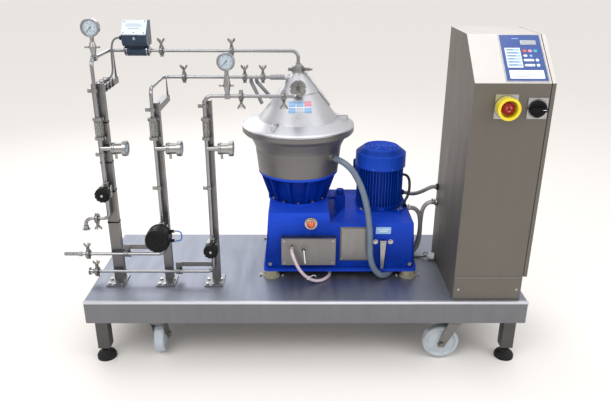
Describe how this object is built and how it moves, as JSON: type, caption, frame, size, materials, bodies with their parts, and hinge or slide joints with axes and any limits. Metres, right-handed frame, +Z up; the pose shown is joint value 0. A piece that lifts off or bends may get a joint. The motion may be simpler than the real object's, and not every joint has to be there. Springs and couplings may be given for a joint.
{
  "type": "cream separator",
  "caption": "Disc-bowl cream separator on a cast base with belt-drive motor, valve and gauge pipework, and a sloped-top control cabinet, all on a steel skid with casters and feet.",
  "frame": {"origin": "middle of the footprint of the whole machine, at floor level", "axes": "+X along the skid towards the control cabinet, +Y to the back of the skid, +Z up"},
  "size_m": [1.912, 0.675, 1.38],
  "materials": {
    "deck_steel": "brushed",
    "frame_steel": "satin",
    "blue_paint": "gloss",
    "cream_mount": "satin",
    "casing_steel": "satin",
    "hood_steel": "polished",
    "clamp_steel": "cast",
    "box_steel": "brushed",
    "sight_ring": "satin",
    "motor_paint": "gloss",
    "bearing_steel": "machined",
    "belt_rubber": "matt",
    "stand_steel": "satin",
    "tube_steel": "polished",
    "sight_tube_glass": "clear",
    "gauge_steel": "polished",
    "meter_paint": "gloss",
    "cabinet_steel": "brushed",
    "membrane": "satin",
    "yellow_plastic": "gloss",
    "chassis_grey": "satin",
    "black_plastic": "satin",
    "bolt_steel": "zinc",
    "grey_hose": "satin",
    "clear_hose": "clear braided",
    "pink_hose": "clear braided",
    "cable_black": "matt",
    "conduit_grey": "satin",
    "white_plastic": "gloss",
    "red_plastic": "gloss",
    "lever_steel": "polished",
    "bowl_steel": "machined",
    "disc_steel": "polished",
    "rotor_iron": "machined",
    "fork_steel": "satin",
    "wheel_nylon": "moulded",
    "foot_rubber": "matt"
  },
  "bodies": {
    "root": {"skid_deck": "deck_steel", "skid_frame": "frame_steel", "machine_base": "blue_paint", "machine_feet": "cream_mount", "pedestal": "blue_paint", "bowl_casing": "casing_steel", "hood": "hood_steel", "pipe_clamps": "clamp_steel", "solenoid_box": "box_steel", "oil_sight_glass": "sight_ring", "motor_housing": "motor_paint", "spindle_bearings": "bearing_steel", "drive_belt": "belt_rubber", "pipe_stands": "stand_steel", "upper_line": "tube_steel", "middle_line": "tube_steel", "front_line": "tube_steel", "line_fittings": "clamp_steel", "sight_tubes": "sight_tube_glass", "gauge_cases": "gauge_steel", "flow_meter": "meter_paint", "cabinet_body": "cabinet_steel", "cover_plates": "cabinet_steel", "control_panel": "membrane", "switch_bezels": "yellow_plastic", "cabinet_chassis": "chassis_grey", "valve_actuator": "black_plastic", "fasteners": "bolt_steel", "casing_hose": "grey_hose", "drain_hose": "clear_hose", "cabinet_hose": "pink_hose", "side_hose": "grey_hose", "motor_cable": "cable_black", "conduit": "conduit_grey", "meter_cable": "conduit_grey", "plug_cable": "white_plastic"},
    "door": {"cabinet_door": "cabinet_steel"},
    "estop": {"estop_button": "red_plastic"},
    "switch_knob": {"main_switch_knob": "black_plastic"},
    "handwheel_left": {"handwheel_left": "black_plastic"},
    "handwheel_right": {"handwheel_right": "black_plastic"},
    "brake_lever": {"brake_lever": "lever_steel"},
    "bowl": {"bowl_shell": "bowl_steel", "disc_stack": "disc_steel", "spindle": "bowl_steel"},
    "rotor": {"motor_rotor": "rotor_iron"},
    "needle_left": {"gauge_needle_left": "black_plastic"},
    "needle_right": {"gauge_needle_right": "black_plastic"},
    "fork_1": {"caster_fork_1": "fork_steel"},
    "wheel_1": {"caster_wheel_1": "wheel_nylon"},
    "foot_1": {"foot_1": "foot_rubber"},
    "fork_2": {"caster_fork_2": "fork_steel"},
    "wheel_2": {"caster_wheel_2": "wheel_nylon"},
    "foot_2": {"foot_2": "foot_rubber"},
    "fork_3": {"caster_fork_3": "fork_steel"},
    "wheel_3": {"caster_wheel_3": "wheel_nylon"},
    "foot_3": {"foot_3": "foot_rubber"},
    "fork_4": {"caster_fork_4": "fork_steel"},
    "wheel_4": {"caster_wheel_4": "wheel_nylon"},
    "foot_4": {"foot_4": "foot_rubber"}
  },
  "joints": [
    {"name": "door_hinge", "type": "hinge", "parent": "root", "child": "door", "pos_m": [0.942, 0.1395, 0.9], "axis": [0, 0, 1], "range_deg": [0, 110]},
    {"name": "estop_push", "type": "slide", "parent": "root", "child": "estop", "axis": [0, 1, 0], "range_m": [0, 0.006]},
    {"name": "main_switch_turn", "type": "hinge", "parent": "root", "child": "switch_knob", "pos_m": [0.882, -0.2925, 1.091], "axis": [0, -1, 0], "range_deg": [-90, 0]},
    {"name": "handwheel_left_turn", "type": "hinge", "parent": "root", "child": "handwheel_left", "pos_m": [-0.747, -0.1405, 0.718], "axis": [0, -1, 0], "range_deg": [0, 720]},
    {"name": "handwheel_right_turn", "type": "hinge", "parent": "root", "child": "handwheel_right", "pos_m": [-0.334, -0.1405, 0.472], "axis": [0, -1, 0], "range_deg": [0, 720]},
    {"name": "brake_turn", "type": "hinge", "parent": "root", "child": "brake_lever", "pos_m": [0.382, -0.1025, 0.466], "axis": [0, -1, 0], "range_deg": [0, 90]},
    {"name": "bowl_spin", "type": "hinge", "parent": "root", "child": "bowl", "pos_m": [0.022, 0.0975, 0.6], "axis": [0, 0, 1], "continuous": true},
    {"name": "motor_spin", "type": "hinge", "parent": "root", "child": "rotor", "pos_m": [0.381, 0.0975, 0.6], "axis": [0, 0, 1], "continuous": true},
    {"name": "needle_left_turn", "type": "hinge", "parent": "root", "child": "needle_left", "pos_m": [-0.747, -0.1005, 1.346], "axis": [0, -1, 0], "range_deg": [-270, 0]},
    {"name": "needle_right_turn", "type": "hinge", "parent": "root", "child": "needle_right", "pos_m": [-0.246, -0.1405, 1.23], "axis": [0, -1, 0], "range_deg": [-270, 0]},
    {"name": "caster_swivel_1", "type": "hinge", "parent": "root", "child": "fork_1", "pos_m": [-0.564, -0.2525, 0.19], "axis": [0, 0, 1], "continuous": true},
    {"name": "caster_roll_1", "type": "hinge", "parent": "fork_1", "child": "wheel_1", "pos_m": [-0.564, -0.2025, 0.078], "axis": [-1, 0, 0], "continuous": true},
    {"name": "caster_swivel_2", "type": "hinge", "parent": "root", "child": "fork_2", "pos_m": [0.676, -0.2525, 0.19], "axis": [0, 0, 1], "continuous": true},
    {"name": "caster_roll_2", "type": "hinge", "parent": "fork_2", "child": "wheel_2", "pos_m": [0.626, -0.2525, 0.078], "axis": [0, -1, 0], "continuous": true},
    {"name": "caster_swivel_3", "type": "hinge", "parent": "root", "child": "fork_3", "pos_m": [-0.564, 0.2775, 0.19], "axis": [0, 0, 1], "continuous": true},
    {"name": "caster_roll_3", "type": "hinge", "parent": "fork_3", "child": "wheel_3", "pos_m": [-0.614, 0.2775, 0.078], "axis": [0, -1, 0], "continuous": true},
    {"name": "caster_swivel_4", "type": "hinge", "parent": "root", "child": "fork_4", "pos_m": [0.676, 0.2775, 0.19], "axis": [0, 0, 1], "continuous": true},
    {"name": "caster_roll_4", "type": "hinge", "parent": "fork_4", "child": "wheel_4", "pos_m": [0.626, 0.2775, 0.078], "axis": [0, -1, 0], "continuous": true},
    {"name": "foot_screw_1", "type": "slide", "parent": "root", "child": "foot_1", "axis": [0, 0, -1], "range_m": [0, 0.025]},
    {"name": "foot_screw_2", "type": "slide", "parent": "root", "child": "foot_2", "axis": [0, 0, -1], "range_m": [0, 0.025]},
    {"name": "foot_screw_3", "type": "slide", "parent": "root", "child": "foot_3", "axis": [0, 0, -1], "range_m": [0, 0.025]},
    {"name": "foot_screw_4", "type": "slide", "parent": "root", "child": "foot_4", "axis": [0, 0, -1], "range_m": [0, 0.025]}
  ],
  "couplings": [
    {"joint": "motor_spin", "follows": "bowl_spin", "ratio": 0.4}
  ]
}
